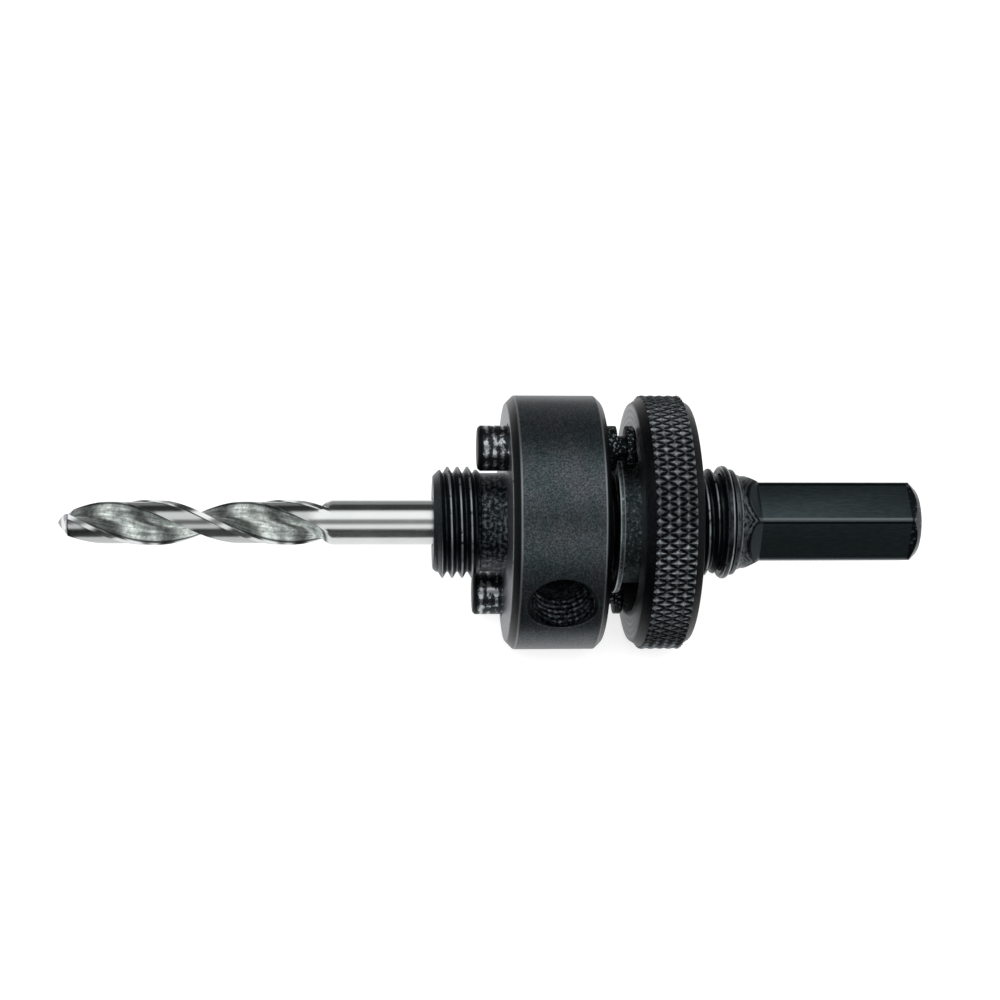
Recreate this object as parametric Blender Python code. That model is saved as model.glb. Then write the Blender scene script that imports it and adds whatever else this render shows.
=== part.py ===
"""Hole saw arbor with locking drive pins, a pilot drill and a hexagonal shank.

The arbor lies along X. The end face of the hexagonal shank is at X = 0 and the drill points
towards -X. Angles round the axis run from -Y (0 degrees) towards +Z (90 degrees).
"""

import math

import bmesh
import bpy
from mathutils import Matrix, Vector

# Clearances, in metres
SEAT_GAP = 0.0003
SLIDE_GAP = 0.0002
RUNNING_GAP = 0.0003

# Hexagonal shank and neck
HEX_WIDTH = 0.01111
HEX_CORNER_ANGLE = 41.25
HEX_FLAT_LENGTH = 0.0232
HEX_RAMP_LENGTH = 0.0017
SHANK_END_CHAMFER = 0.0018
NECK_OVER_CORNERS = 0.00023
NECK_LENGTH = 0.0008
NECK_STEP_HEIGHT = 0.0003
NECK_STEP_LENGTH = 0.0005
NECK_SHOULDER_LENGTH = 0.0004

# Rear thread with its land and snap-ring groove
LAND_BELOW_THREAD = 0.0001
LAND_LENGTH = 0.0005
GROOVE_DEPTH = 0.0009
REAR_THREAD_BELOW_NOSE = 0.00024
REAR_THREAD_PHASE = 0.80
THREAD_PITCH = 0.0254 / 18
THREAD_DEPTH_PER_PITCH = 0.6134

# Fixed collar
COLLAR_WALL_PAST_PINS = 0.0028
COLLAR_LENGTH = 0.0134
COLLAR_FRONT_CHAMFER = 0.00115
COLLAR_REAR_CHAMFER = 0.0009

# Threaded nose
RELIEF_BELOW_THREAD = 0.00089
RELIEF_LENGTH = 0.00355
NOSE_THREAD_DIAMETER = 0.015875
NOSE_THREAD_LENGTH = 0.0067
NOSE_CHAMFER = 0.0013
NOSE_THREAD_PHASE = 0.72

# Pilot drill
DRILL_DIAMETER = 0.00635
DRILL_LENGTH = 0.0800
DRILL_PROJECTION = 0.0527
DRILL_POINT_ANGLE = 118.0
DRILL_FLUTE_LENGTH = 0.0345
DRILL_RUNOUT_LENGTH = 0.0040
DRILL_LEAD = 0.0377
DRILL_WEB_SHARE = 0.24
DRILL_LAND_SHARE = 0.93
DRILL_LAND_ANGLE = 48.0
DRILL_MARGIN_ANGLE = 15.0
DRILL_FIRST_ANGLE = 17.0

# Drive pins
PIN_DIAMETER = 0.00635
PIN_ANGLE = 97.0
PIN_PROUD = 0.00425
PIN_CHAMFER = 0.0005
PIN_NECK_DIAMETER = 0.0035
PIN_HEAD_LENGTH = 0.0013

# Knurled nut with its flanged hub
NUT_FORWARD_TRAVEL = 0.0017
FLANGE_THICKNESS = 0.00075
HUB_WALL = 0.0008
HUB_NECK_LENGTH = 0.0018
NUT_PROUD_OF_COLLAR = 0.00005
NUT_LENGTH = 0.00795
NUT_FRONT_CHAMFER = 0.0012
NUT_REAR_CHAMFER = 0.0012
NUT_RIM_WIDTH = 0.0044
NUT_RECESS_DEPTH = 0.0025
KNURL_COUNT = 80
KNURL_ROWS = 4
KNURL_DEPTH = 0.00042

# Snap ring
SNAP_RING_THICKNESS = 0.0013
SNAP_RING_LIP = 0.00025
SNAP_RING_OPENING = 50.0
SNAP_RING_ANGLE = 180.0

# Set screw and its well
SET_SCREW_DIAMETER = 0.0080
SET_SCREW_LENGTH = 0.0090
SET_SCREW_BEHIND_MIDDLE = 0.00025
SET_SCREW_POINT_DIAMETER = 0.0055
SET_SCREW_CHAMFER = 0.0005
SET_SCREW_SOCKET_WIDTH = 0.0040
SET_SCREW_SOCKET_DEPTH = 0.0035
WELL_COUNTERSINK = 0.0007
WELL_BREAKTHROUGH = 0.0008

# Faces round each turned form
ROUND_SEGMENTS = 48
SMALL_SEGMENTS = 24
CUT_MARGIN = 0.0010

# Stations along the axis, from the shank end forward
hex_foot = -HEX_FLAT_LENGTH
neck_rear = hex_foot - HEX_RAMP_LENGTH
neck_front = neck_rear - NECK_LENGTH
step_front = neck_front - NECK_STEP_LENGTH
land_rear = step_front - NECK_SHOULDER_LENGTH
groove_rear = land_rear - LAND_LENGTH
ring_rear = groove_rear - SLIDE_GAP
ring_front = ring_rear - SNAP_RING_THICKNESS
groove_front = ring_front - SLIDE_GAP
nut_back_travel = PIN_PROUD + RUNNING_GAP
hub_length = FLANGE_THICKNESS + HUB_NECK_LENGTH + NUT_LENGTH
nut_rear = ring_front - RUNNING_GAP - nut_back_travel
flange_front = nut_rear - hub_length
collar_rear = flange_front - RUNNING_GAP - NUT_FORWARD_TRAVEL
collar_front = collar_rear - COLLAR_LENGTH
relief_front = collar_front - RELIEF_LENGTH
nose_front = relief_front - NOSE_THREAD_LENGTH
drill_tip = nose_front - DRILL_PROJECTION
drill_end = drill_tip + DRILL_LENGTH
flange_rear = flange_front + FLANGE_THICKNESS
nut_front = flange_rear + HUB_NECK_LENGTH
pin_front = collar_front - PIN_PROUD
pin_rear = flange_rear + RUNNING_GAP + PIN_HEAD_LENGTH

# Radii that follow from the pieces that meet
hex_apothem = HEX_WIDTH / 2
neck_radius = hex_apothem / math.cos(math.radians(30)) + NECK_OVER_CORNERS
thread_depth = THREAD_PITCH * THREAD_DEPTH_PER_PITCH
nose_thread_radius = NOSE_THREAD_DIAMETER / 2
rear_thread_radius = nose_thread_radius - REAR_THREAD_BELOW_NOSE
land_radius = rear_thread_radius - LAND_BELOW_THREAD
groove_radius = rear_thread_radius - GROOVE_DEPTH
bore_radius = DRILL_DIAMETER / 2 + SLIDE_GAP
pin_radius = PIN_DIAMETER / 2
pin_hole_radius = pin_radius + SLIDE_GAP
nut_bore_radius = rear_thread_radius + SLIDE_GAP
snap_ring_radius = nut_bore_radius + SNAP_RING_LIP
hub_radius = nut_bore_radius + HUB_WALL
pin_circle_radius = hub_radius + RUNNING_GAP + pin_radius
pin_neck_radius = PIN_NECK_DIAMETER / 2
flange_radius = pin_circle_radius - pin_neck_radius - RUNNING_GAP
collar_radius = pin_circle_radius + pin_radius + COLLAR_WALL_PAST_PINS
nut_radius = collar_radius + NUT_PROUD_OF_COLLAR
knurl_root_radius = nut_radius - KNURL_DEPTH
nut_front_face_radius = nut_radius - NUT_FRONT_CHAMFER
nut_rear_face_radius = nut_radius - NUT_REAR_CHAMFER
nut_recess_radius = nut_front_face_radius - NUT_RIM_WIDTH
set_screw_x = (collar_front + collar_rear) / 2 + SET_SCREW_BEHIND_MIDDLE
set_screw_tip = DRILL_DIAMETER / 2 + SEAT_GAP
well_radius = SET_SCREW_DIAMETER / 2 + RUNNING_GAP


def clear_scene():
    for item in list(bpy.data.objects):
        bpy.data.objects.remove(item, do_unlink=True)


def make_material(name, colour, roughness, metallic):
    material = bpy.data.materials.new(name)
    material.use_nodes = True
    shader = material.node_tree.nodes["Principled BSDF"]
    shader.inputs["Base Color"].default_value = (*colour, 1.0)
    shader.inputs["Roughness"].default_value = roughness
    shader.inputs["Metallic"].default_value = metallic
    return material


def add_object(name, bm, material=None):
    """Weld the faces of one closed form, turn them outward and make the object."""
    bmesh.ops.remove_doubles(bm, verts=bm.verts, dist=1e-7)
    bmesh.ops.dissolve_degenerate(bm, edges=bm.edges, dist=1e-7)
    bmesh.ops.recalc_face_normals(bm, faces=bm.faces)
    mesh = bpy.data.meshes.new(name)
    bm.to_mesh(mesh)
    bm.free()
    mesh.shade_smooth()
    mesh.set_sharp_from_angle(angle=math.radians(30))
    item = bpy.data.objects.new(name, mesh)
    bpy.context.collection.objects.link(item)
    if material is not None:
        mesh.materials.append(material)
    return item


def cut(item, cutter, operation="DIFFERENCE"):
    """Cut an object with another, which stays as a hidden wire cutter."""
    cutter.hide_render = True
    cutter.display_type = "WIRE"
    modifier = item.modifiers.new(cutter.name, "BOOLEAN")
    modifier.operation = operation
    modifier.object = cutter


def round_angles(segments, first=HEX_CORNER_ANGLE):
    return [math.radians(first + 360 * step / segments) for step in range(segments)]


def polar(x, radius, angle):
    return Vector((x, -radius * math.cos(angle), radius * math.sin(angle)))


def add_ring(bm, x, radius, angles):
    """Add one ring of vertices. The radius is a number or one number for each angle."""
    radii = radius if isinstance(radius, list) else [radius] * len(angles)
    return [bm.verts.new(polar(x, r, angle)) for r, angle in zip(radii, angles)]


def bridge(bm, first, second):
    """Join two rings. The first may have a whole multiple of the second's vertices."""
    share = len(first) // len(second)
    for index, vertex in enumerate(second):
        following = second[(index + 1) % len(second)]
        fan = [first[(index * share + step) % len(first)] for step in range(share + 1)]
        if share == 1:
            bm.faces.new((fan[0], fan[1], following, vertex))
            continue
        half = share // 2
        for step in range(share):
            corner = vertex if step < half else following
            bm.faces.new((fan[step], fan[step + 1], corner))
        bm.faces.new((fan[half], following, vertex))


def lathe(bm, profile, angles):
    """Turn a profile of (x, radius) points. A radius of 0 closes that end."""
    previous = None
    for x, radius in profile:
        if radius == 0:
            ring = bm.verts.new((x, 0, 0))
        else:
            ring = add_ring(bm, x, radius, angles)
        if isinstance(previous, bmesh.types.BMVert):
            close_ring(bm, ring, previous)
        elif previous is not None and radius == 0:
            close_ring(bm, previous, ring)
        elif previous is not None:
            bridge(bm, previous, ring)
        previous = ring


def close_ring(bm, ring, centre):
    for index, vertex in enumerate(ring):
        bm.faces.new((vertex, ring[(index + 1) % len(ring)], centre))


def turned_object(name, profile, material=None, segments=SMALL_SEGMENTS, first=HEX_CORNER_ANGLE):
    bm = bmesh.new()
    lathe(bm, profile, round_angles(segments, first))
    return add_object(name, bm, material)


def thread_band(bm, front, rear, crest, ends, phase, angles):
    """Skin a right-hand vee thread between two stations.

    Its rows follow the helix, crest and root in turn. Rows that pass an end collapse on it, and
    a 45 degree run-out brings the crests down to the end's radius there.
    """
    front_radius, rear_radius = ends
    step = math.tau / len(angles)

    def point(row, column):
        turn = column * step / math.tau
        x = front + THREAD_PITCH * (row / 2 - turn + phase)
        radius = crest if row % 2 == 0 else crest - thread_depth
        angle = angles[column % len(angles)]
        if x <= front:
            return polar(front, front_radius, angle)
        if x >= rear:
            return polar(rear, rear_radius, angle)
        radius = min(radius, front_radius + x - front, rear_radius + rear - x)
        return polar(x, radius, angle)

    rows = 2 * math.ceil((rear - front) / THREAD_PITCH) + 6
    for row in range(-4, rows):
        for column in range(len(angles)):
            corners = [point(row, column), point(row, column + 1)]
            corners += [point(row + 1, column + 1), point(row + 1, column)]
            add_patch(bm, corners)


def add_patch(bm, corners):
    """Add a four-sided patch, leaving out corners that fall on each other."""
    distinct = []
    for corner in corners:
        if all((corner - other).length > 1e-7 for other in distinct):
            distinct.append(corner)
    if len(distinct) > 2:
        bm.faces.new([bm.verts.new(corner) for corner in distinct])


def arbor_blank(material):
    """Turn the one-piece bar: nose thread, collar, rear thread, groove and shank blank."""
    bm = bmesh.new()
    angles = round_angles(ROUND_SEGMENTS)
    nose_face_radius = nose_thread_radius - NOSE_CHAMFER
    relief_radius = nose_thread_radius - RELIEF_BELOW_THREAD
    rear_root = rear_thread_radius - thread_depth

    lathe(bm, [(nose_front, 0), (nose_front, nose_face_radius)], angles)
    nose_ends = (nose_face_radius, relief_radius)
    thread_band(bm, nose_front, relief_front, nose_thread_radius, nose_ends, NOSE_THREAD_PHASE, angles)
    lathe(
        bm,
        [
            (relief_front, relief_radius),
            (collar_front, relief_radius),
            (collar_front, collar_radius - COLLAR_FRONT_CHAMFER),
            (collar_front + COLLAR_FRONT_CHAMFER, collar_radius),
            (collar_rear - COLLAR_REAR_CHAMFER, collar_radius),
            (collar_rear, collar_radius - COLLAR_REAR_CHAMFER),
            (collar_rear, rear_root),
        ],
        angles,
    )
    rear_ends = (rear_root, rear_root)
    thread_band(bm, collar_rear, groove_front, rear_thread_radius, rear_ends, REAR_THREAD_PHASE, angles)
    lathe(
        bm,
        [
            (groove_front, rear_root),
            (groove_front, groove_radius),
            (groove_rear, groove_radius),
            (groove_rear, land_radius),
            (land_rear, land_radius),
            (step_front, neck_radius + NECK_STEP_HEIGHT),
            (neck_front, neck_radius),
            (-SHANK_END_CHAMFER, neck_radius),
            (0, neck_radius - SHANK_END_CHAMFER),
            (0, 0),
        ],
        angles,
    )
    return add_object("arbor_body", bm, material)


def hex_form():
    """The six-sided envelope that mills the shank: flats, ramps and a wide part past the neck."""
    slope = (neck_radius - hex_apothem) / HEX_RAMP_LENGTH
    ramp_top = hex_apothem + slope * (hex_foot - neck_front)
    wide = collar_radius * 2
    corner = 1 / math.cos(math.radians(30))
    profile = [
        (nose_front - CUT_MARGIN, 0),
        (nose_front - CUT_MARGIN, wide * corner),
        (neck_front, wide * corner),
        (neck_front, ramp_top * corner),
        (hex_foot, hex_apothem * corner),
        (CUT_MARGIN, hex_apothem * corner),
        (CUT_MARGIN, 0),
    ]
    return turned_object("shank_hex_form", profile, segments=6)


def drill_bore():
    bore_end = drill_end + SEAT_GAP
    cone = bore_radius / math.tan(math.radians(DRILL_POINT_ANGLE / 2))
    profile = [
        (nose_front - CUT_MARGIN, 0),
        (nose_front - CUT_MARGIN, bore_radius),
        (bore_end, bore_radius),
        (bore_end + cone, 0),
    ]
    return turned_object("drill_bore", profile)


def pin_axis(angle):
    return polar(0, pin_circle_radius, math.radians(angle))


def pin_hole(name, angle):
    profile = [
        (collar_front - CUT_MARGIN, 0),
        (collar_front - CUT_MARGIN, pin_hole_radius),
        (collar_rear + CUT_MARGIN, pin_hole_radius),
        (collar_rear + CUT_MARGIN, 0),
    ]
    hole = turned_object(name, profile)
    hole.location = pin_axis(angle)
    return hole


def radial_placement(item):
    """Turn a form made along +X so that it points out along -Y at the set screw's station."""
    item.matrix_world = Matrix.Translation((set_screw_x, 0, 0)) @ Matrix.Rotation(-math.pi / 2, 4, "Z")
    return item


def set_screw_well():
    mouth = collar_radius
    flare = WELL_COUNTERSINK + CUT_MARGIN
    profile = [
        (bore_radius - WELL_BREAKTHROUGH, 0),
        (bore_radius - WELL_BREAKTHROUGH, well_radius),
        (mouth - WELL_COUNTERSINK, well_radius),
        (mouth + CUT_MARGIN, well_radius + flare),
        (mouth + CUT_MARGIN, 0),
    ]
    return radial_placement(turned_object("set_screw_well", profile))


def make_arbor_body(material):
    body = arbor_blank(material)
    cut(body, hex_form(), "INTERSECT")
    cut(body, drill_bore())
    cut(body, pin_hole("pin_hole_upper", PIN_ANGLE))
    cut(body, pin_hole("pin_hole_lower", PIN_ANGLE + 180))
    cut(body, set_screw_well())
    return body


def flute_section():
    """Share of the drill's radius at each angle of one half turn: land, margin and hollow flute."""
    land = math.radians(DRILL_LAND_ANGLE)
    margin = math.radians(DRILL_MARGIN_ANGLE)
    edge = land + margin
    section = [(0.0, DRILL_LAND_SHARE), (land / 2, DRILL_LAND_SHARE), (land, DRILL_LAND_SHARE)]
    section += [(land + margin / 4, 1.0), (edge, 1.0)]
    middle = (math.pi + edge) / 2
    flute_points = 10
    for index in range(1, flute_points):
        side = -math.cos(math.pi * index / flute_points)
        rim = 1.0 if side < 0 else DRILL_LAND_SHARE
        bend = math.acos(DRILL_WEB_SHARE / rim)
        section.append((middle + (math.pi - middle) * side, DRILL_WEB_SHARE / math.cos(bend * side)))
    return section


def make_pilot_drill(material):
    """Sweep the two-fluted section along its helix, with a cone point and a run-out."""
    radius = DRILL_DIAMETER / 2
    half = flute_section()
    section = half + [(angle + math.pi, share) for angle, share in half]
    cone_length = radius / math.tan(math.radians(DRILL_POINT_ANGLE / 2))
    flute_end = drill_tip + DRILL_FLUTE_LENGTH + DRILL_RUNOUT_LENGTH
    stations = [drill_tip + cone_length * share for share in (0.05, 0.3, 0.65, 1.0)]
    steps = 22
    fluted = flute_end - stations[-1]
    stations += [stations[-1] + fluted * (step + 1) / steps for step in range(steps)]
    stations += [drill_end - PIN_CHAMFER, drill_end]

    bm = bmesh.new()
    previous = None
    for x in stations:
        turned = math.tau * (min(x, flute_end) - drill_tip) / DRILL_LEAD
        twist = math.radians(DRILL_FIRST_ANGLE) - turned
        fade = min(max((flute_end - x) / DRILL_RUNOUT_LENGTH, 0), 1)
        fade = fade * fade * (3 - 2 * fade)
        cone = min(1, (x - drill_tip) / cone_length)
        tail = PIN_CHAMFER / radius if x == drill_end else 0
        angles = [angle + twist for angle, share in section]
        radii = [radius * min(cone, 1 - fade * (1 - share) - tail) for angle, share in section]
        ring = add_ring(bm, x, radii, angles)
        if previous is None:
            bm.faces.new(ring)
        else:
            bridge(bm, previous, ring)
        previous = ring
    bm.faces.new(previous)
    return add_object("pilot_drill", bm, material)


def make_drive_pin(name, angle, material):
    """Round pin with a turned groove that takes the nut's flange, and a head behind it."""
    groove_start = flange_front - RUNNING_GAP
    groove_end = flange_rear + RUNNING_GAP
    profile = [
        (pin_front, 0),
        (pin_front, pin_radius - PIN_CHAMFER),
        (pin_front + PIN_CHAMFER, pin_radius),
        (groove_start, pin_radius),
        (groove_start, pin_neck_radius),
        (groove_end, pin_neck_radius),
        (groove_end, pin_radius),
        (pin_rear - PIN_CHAMFER, pin_radius),
        (pin_rear, pin_radius - PIN_CHAMFER),
        (pin_rear, 0),
    ]
    pin = turned_object(name, profile, material)
    pin.location = pin_axis(angle)
    return pin


def knurl_heights(row):
    """Crest and groove in turn round one row of the knurl, shifted from row to row."""
    heights = (nut_radius, knurl_root_radius)
    return [heights[(row + column) % 2] for column in range(2 * KNURL_COUNT)]


def knurl_band(bm, front, rear, angles):
    """Four-sided pyramids on a staggered grid, cut off square at both ends of the band."""
    step = (rear - front) / KNURL_ROWS
    rows = range(KNURL_ROWS + 1)
    rings = [add_ring(bm, front + step * row, knurl_heights(row), angles) for row in rows]
    count = len(angles)
    for row in range(KNURL_ROWS):
        for column in range(count):
            following = (column + 1) % count
            corners = [rings[row][column], rings[row][following]]
            corners += [rings[row + 1][following], rings[row + 1][column]]
            if (row + column) % 2 == 1:
                corners = corners[1:] + corners[:1]
            bm.faces.new((corners[0], corners[1], corners[3]))
            bm.faces.new((corners[1], corners[2], corners[3]))
    ends = (add_ring(bm, front, knurl_root_radius, angles), add_ring(bm, rear, knurl_root_radius, angles))
    bridge(bm, ends[0], rings[0])
    bridge(bm, rings[-1], ends[1])
    return ends


def make_knurled_nut(material):
    """Knurled rim, recessed front face, and a hub whose flange holds the pins."""
    bm = bmesh.new()
    fine = round_angles(2 * KNURL_COUNT)
    coarse = round_angles(KNURL_COUNT // 2)
    recess_floor = nut_front + NUT_RECESS_DEPTH
    first, last = knurl_band(bm, nut_front + NUT_FRONT_CHAMFER, nut_rear - NUT_REAR_CHAMFER, fine)
    front_edge = add_ring(bm, nut_front, nut_front_face_radius, coarse)
    rear_edge = add_ring(bm, nut_rear, nut_rear_face_radius, coarse)
    bridge(bm, first, front_edge)
    bridge(bm, last, rear_edge)
    lathe(
        bm,
        [
            (nut_front, nut_front_face_radius),
            (nut_front, nut_recess_radius),
            (recess_floor, nut_recess_radius),
            (recess_floor, hub_radius),
            (flange_rear, hub_radius),
            (flange_rear, flange_radius),
            (flange_front, flange_radius),
            (flange_front, nut_bore_radius),
            (nut_rear, nut_bore_radius),
            (nut_rear, nut_rear_face_radius),
        ],
        coarse,
    )
    return add_object("knurled_nut", bm, material)


def make_retaining_ring(material):
    """Open ring of square section, snapped into its groove."""
    inner = groove_radius + SLIDE_GAP
    outer = snap_ring_radius
    steps = 30
    span = 360 - SNAP_RING_OPENING
    start = SNAP_RING_ANGLE + SNAP_RING_OPENING / 2
    corners = [(ring_front, inner), (ring_front, outer), (ring_rear, outer), (ring_rear, inner)]
    bm = bmesh.new()
    previous = None
    for step in range(steps + 1):
        angle = math.radians(start + span * step / steps)
        section = [bm.verts.new(polar(x, radius, angle)) for x, radius in corners]
        if previous is None:
            bm.faces.new(section)
        else:
            bridge(bm, previous, section)
        previous = section
    bm.faces.new(previous)
    return add_object("retaining_ring", bm, material)


def socket_form():
    corner = SET_SCREW_SOCKET_WIDTH / 2 / math.cos(math.radians(30))
    outer = set_screw_tip + SET_SCREW_LENGTH
    inner = outer - SET_SCREW_SOCKET_DEPTH
    profile = [(inner, 0), (inner, corner), (outer + CUT_MARGIN, corner), (outer + CUT_MARGIN, 0)]
    return radial_placement(turned_object("set_screw_socket", profile, segments=6, first=15))


def make_set_screw(material):
    radius = SET_SCREW_DIAMETER / 2
    point = SET_SCREW_POINT_DIAMETER / 2
    outer = set_screw_tip + SET_SCREW_LENGTH
    profile = [
        (set_screw_tip, 0),
        (set_screw_tip, point),
        (set_screw_tip + radius - point, radius),
        (outer - SET_SCREW_CHAMFER, radius),
        (outer, radius - SET_SCREW_CHAMFER),
        (outer, 0),
    ]
    screw = radial_placement(turned_object("set_screw", profile, material))
    cut(screw, socket_form())
    return screw


def main():
    clear_scene()
    black_oxide = make_material("black_oxide_steel", (0.030, 0.034, 0.036), 0.42, 0.9)
    make_arbor_body(black_oxide)
    make_pilot_drill(make_material("ground_steel", (0.62, 0.63, 0.62), 0.22, 1.0))
    pin_steel = make_material("worn_pin_steel", (0.060, 0.058, 0.056), 0.34, 0.9)
    make_drive_pin("drive_pin_upper", PIN_ANGLE, pin_steel)
    make_drive_pin("drive_pin_lower", PIN_ANGLE + 180, pin_steel)
    make_knurled_nut(make_material("nut_black_oxide", (0.026, 0.029, 0.030), 0.36, 0.9))
    make_retaining_ring(make_material("spring_steel", (0.045, 0.045, 0.047), 0.40, 0.9))
    make_set_screw(make_material("screw_black_oxide", (0.020, 0.021, 0.022), 0.45, 0.9))


main()
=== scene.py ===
import math
import bmesh
import bpy
from mathutils import Matrix, Vector


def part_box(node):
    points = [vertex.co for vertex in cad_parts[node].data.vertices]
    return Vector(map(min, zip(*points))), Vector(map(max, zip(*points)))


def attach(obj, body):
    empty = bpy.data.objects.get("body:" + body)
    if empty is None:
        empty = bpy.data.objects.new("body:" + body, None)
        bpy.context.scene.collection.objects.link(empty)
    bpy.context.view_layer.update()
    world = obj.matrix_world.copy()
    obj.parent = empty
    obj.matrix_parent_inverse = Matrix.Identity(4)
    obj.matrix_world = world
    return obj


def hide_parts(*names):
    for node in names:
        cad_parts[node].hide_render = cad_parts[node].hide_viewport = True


MM = 0.001

# Camera, matched to the photograph
CAMERA_DISTANCE = 250 * MM
CAMERA_ELEVATION = 38.5
CAMERA_YAW = 4.0
VIEW_WIDTH = 142.9 * MM
SENSOR_WIDTH = 36.0
AIM_X = -59.95 * MM
AIM_ABOVE_AXIS = 3.17 * MM

# Clearances
RUNNING_GAP = 0.30 * MM
SLIDE_GAP = 0.20 * MM

# Bar the arbor is turned from
HEX_WIDTH = 11.11 * MM
HEX_CORNER_ANGLE = 41.25
HEX_FLAT_LENGTH = 23.2 * MM
HEX_RAMP_LENGTH = 1.7 * MM
HEX_RIDGE_ROUNDING = 0.28 * MM
SHANK_END_CHAMFER = 1.8 * MM
NECK_OVER_CORNERS = 0.23 * MM
NECK_LENGTH = 0.8 * MM
NECK_STEP_HEIGHT = 0.3 * MM
NECK_STEP_LENGTH = 0.5 * MM
NECK_SHOULDER_LENGTH = 0.4 * MM
LAND_BELOW_THREAD = 0.1 * MM
LAND_LENGTH = 0.5 * MM
GROOVE_DEPTH = 0.9 * MM
GROOVE_LENGTH = 1.7 * MM
REAR_THREAD_BELOW_NOSE = 0.24 * MM
REAR_THREAD_PHASE = 0.56
COLLAR_BEHIND_NOSE = 10.25 * MM
COLLAR_LENGTH = 13.4 * MM
COLLAR_FRONT_CHAMFER = 1.15 * MM
COLLAR_REAR_CHAMFER = 0.9 * MM
RELIEF_BELOW_THREAD = 0.89 * MM
RELIEF_LENGTH = 3.55 * MM
NOSE_THREAD_DIAMETER = 15.875 * MM
NOSE_CHAMFER = 1.3 * MM
NOSE_THREAD_PHASE = 0.72
THREAD_PITCH = 25.4 / 18 * MM
THREAD_DEPTH = 0.6134 * THREAD_PITCH
# Points of one tooth, as shares of the pitch and of the depth
THREAD_TOOTH = ((-0.07, 0.0), (0.07, 0.0), (0.25, 0.5), (0.43, 1.0), (0.57, 1.0), (0.75, 0.5))
EDGE_ROUNDING = 0.12 * MM
HOLE_FLARE = 0.24 * MM
HEX_CORNER_SHARE = 1 / math.cos(math.radians(30))

# Well of the set screw
WELL_COUNTERSINK = 0.7 * MM
WELL_THREAD_PITCH = 1.0 * MM
WELL_THREAD_HEIGHT = 0.25 * MM
WELL_THREAD_TURNS = 6

# Pilot drill
DRILL_POINT_ANGLE = 118.0
DRILL_FLUTE_LENGTH = 34.5 * MM
DRILL_RUNOUT_LENGTH = 4.0 * MM
DRILL_LEAD = 37.7 * MM
DRILL_WEB_SHARE = 0.24
DRILL_LAND_SHARE = 0.93
DRILL_LAND_ANGLE = 48.0
DRILL_MARGIN_ANGLE = 15.0
DRILL_MARGIN_RISE = 0.14
DRILL_FIRST_ANGLE = 17.0
DRILL_CHISEL_SHARE = 0.05

# Drive pins
PIN_CHAMFER = 0.35 * MM
PIN_NECK_DIAMETER = 3.5 * MM

# Knurled nut
FLANGE_THICKNESS = 0.75 * MM
HUB_NECK_LENGTH = 1.8 * MM
HUB_WALL = 0.8 * MM
NUT_FRONT_CHAMFER = 1.2 * MM
NUT_REAR_CHAMFER = 1.2 * MM
NUT_RIM_WIDTH = 4.4 * MM
NUT_RECESS_DEPTH = 2.5 * MM
KNURL_COUNT = 80
KNURL_START = 0.33
KNURL_END = 2.50
KNURL_DEPTH = 0.42 * MM
KNURL_CELLS = 4

# Snap ring
RING_OPENING = 50.0
RING_MIDDLE_OF_OPENING = 180.0

# Set screw
SCREW_CHAMFER = 0.5 * MM
SCREW_POINT_DIAMETER = 5.5 * MM
SCREW_SOCKET_WIDTH = 4.0 * MM
SCREW_SOCKET_DEPTH = 3.5 * MM
SCREW_SOCKET_CONE = 0.72 * MM
SCREW_SOCKET_TURN = 15.0

# Fineness of the meshes
FINE_STEPS = 192
SMALL_STEPS = 64
LAND_STEPS = 6
FLUTE_STEPS = 24
POINT_STEPS = 12
FLUTED_STEPS = 110
WIRE_STEPS = 16
RING_STEPS = 90
CUT_MARGIN = 1.0 * MM
WELD = 0.002 * MM
SMOOTH_ANGLE = math.radians(32)

# Floor: its own grey, its glow near the arbor and far from it, and how bright it is in reflections
FLOOR_SIZE = 4.0
FLOOR_GREY = 0.35
FLOOR_GLOW = 0.72
FLOOR_FAR_GLOW = 1.0
FLOOR_NEAR = 0.12
FLOOR_FAR = 0.40
FLOOR_IN_METAL = 0.50
WORLD_FILL = 0.55

# Tent: angle and brightness of its strips, from the front (0) over the top (90) to the back (180)
TENT_RADIUS = 0.5
TENT_LENGTH = 1.6
TENT_SIDES = 96
TENT_STRIPS = (
    (-180, 0.35), (-90, 0.75), (0, 0.05), (4, 0.30), (10, 1.1), (24, 1.1), (34, 0.26),
    (50, 0.26), (60, 1.3), (94, 1.3), (106, 0.05), (142, 0.05), (152, 0.35),
)

# Cards over the floor: left, right, front, back and grey
CARD_LIFT = 0.3 * MM
FRONT_CARD = (-0.86, 0.74, -0.45, -0.02, 0.025)
# The drill card is a painted shadow: a dark sheet under the drill, seen in reflections where the drill's
# shadow on the floor falls
DRILL_SHADOW_CARD = (-0.125, -0.07, -0.12, -0.019, 0.30)

# Lamps: place, size and energy
FRONT_LAMP = ((-0.12, -0.45, 0.45), (0.6, 0.4), 6.0)
BACK_LAMP = ((0.0, 0.5, 0.4), (0.6, 0.3), 2.0)

# Colours used in more than one place, and the depth that the bumps stand for
NEAR_BLACK = (0.002, 0.003, 0.004)
BARE_STEEL = (0.34, 0.37, 0.39)
BUMP_DISTANCE = 0.05 * MM

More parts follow.
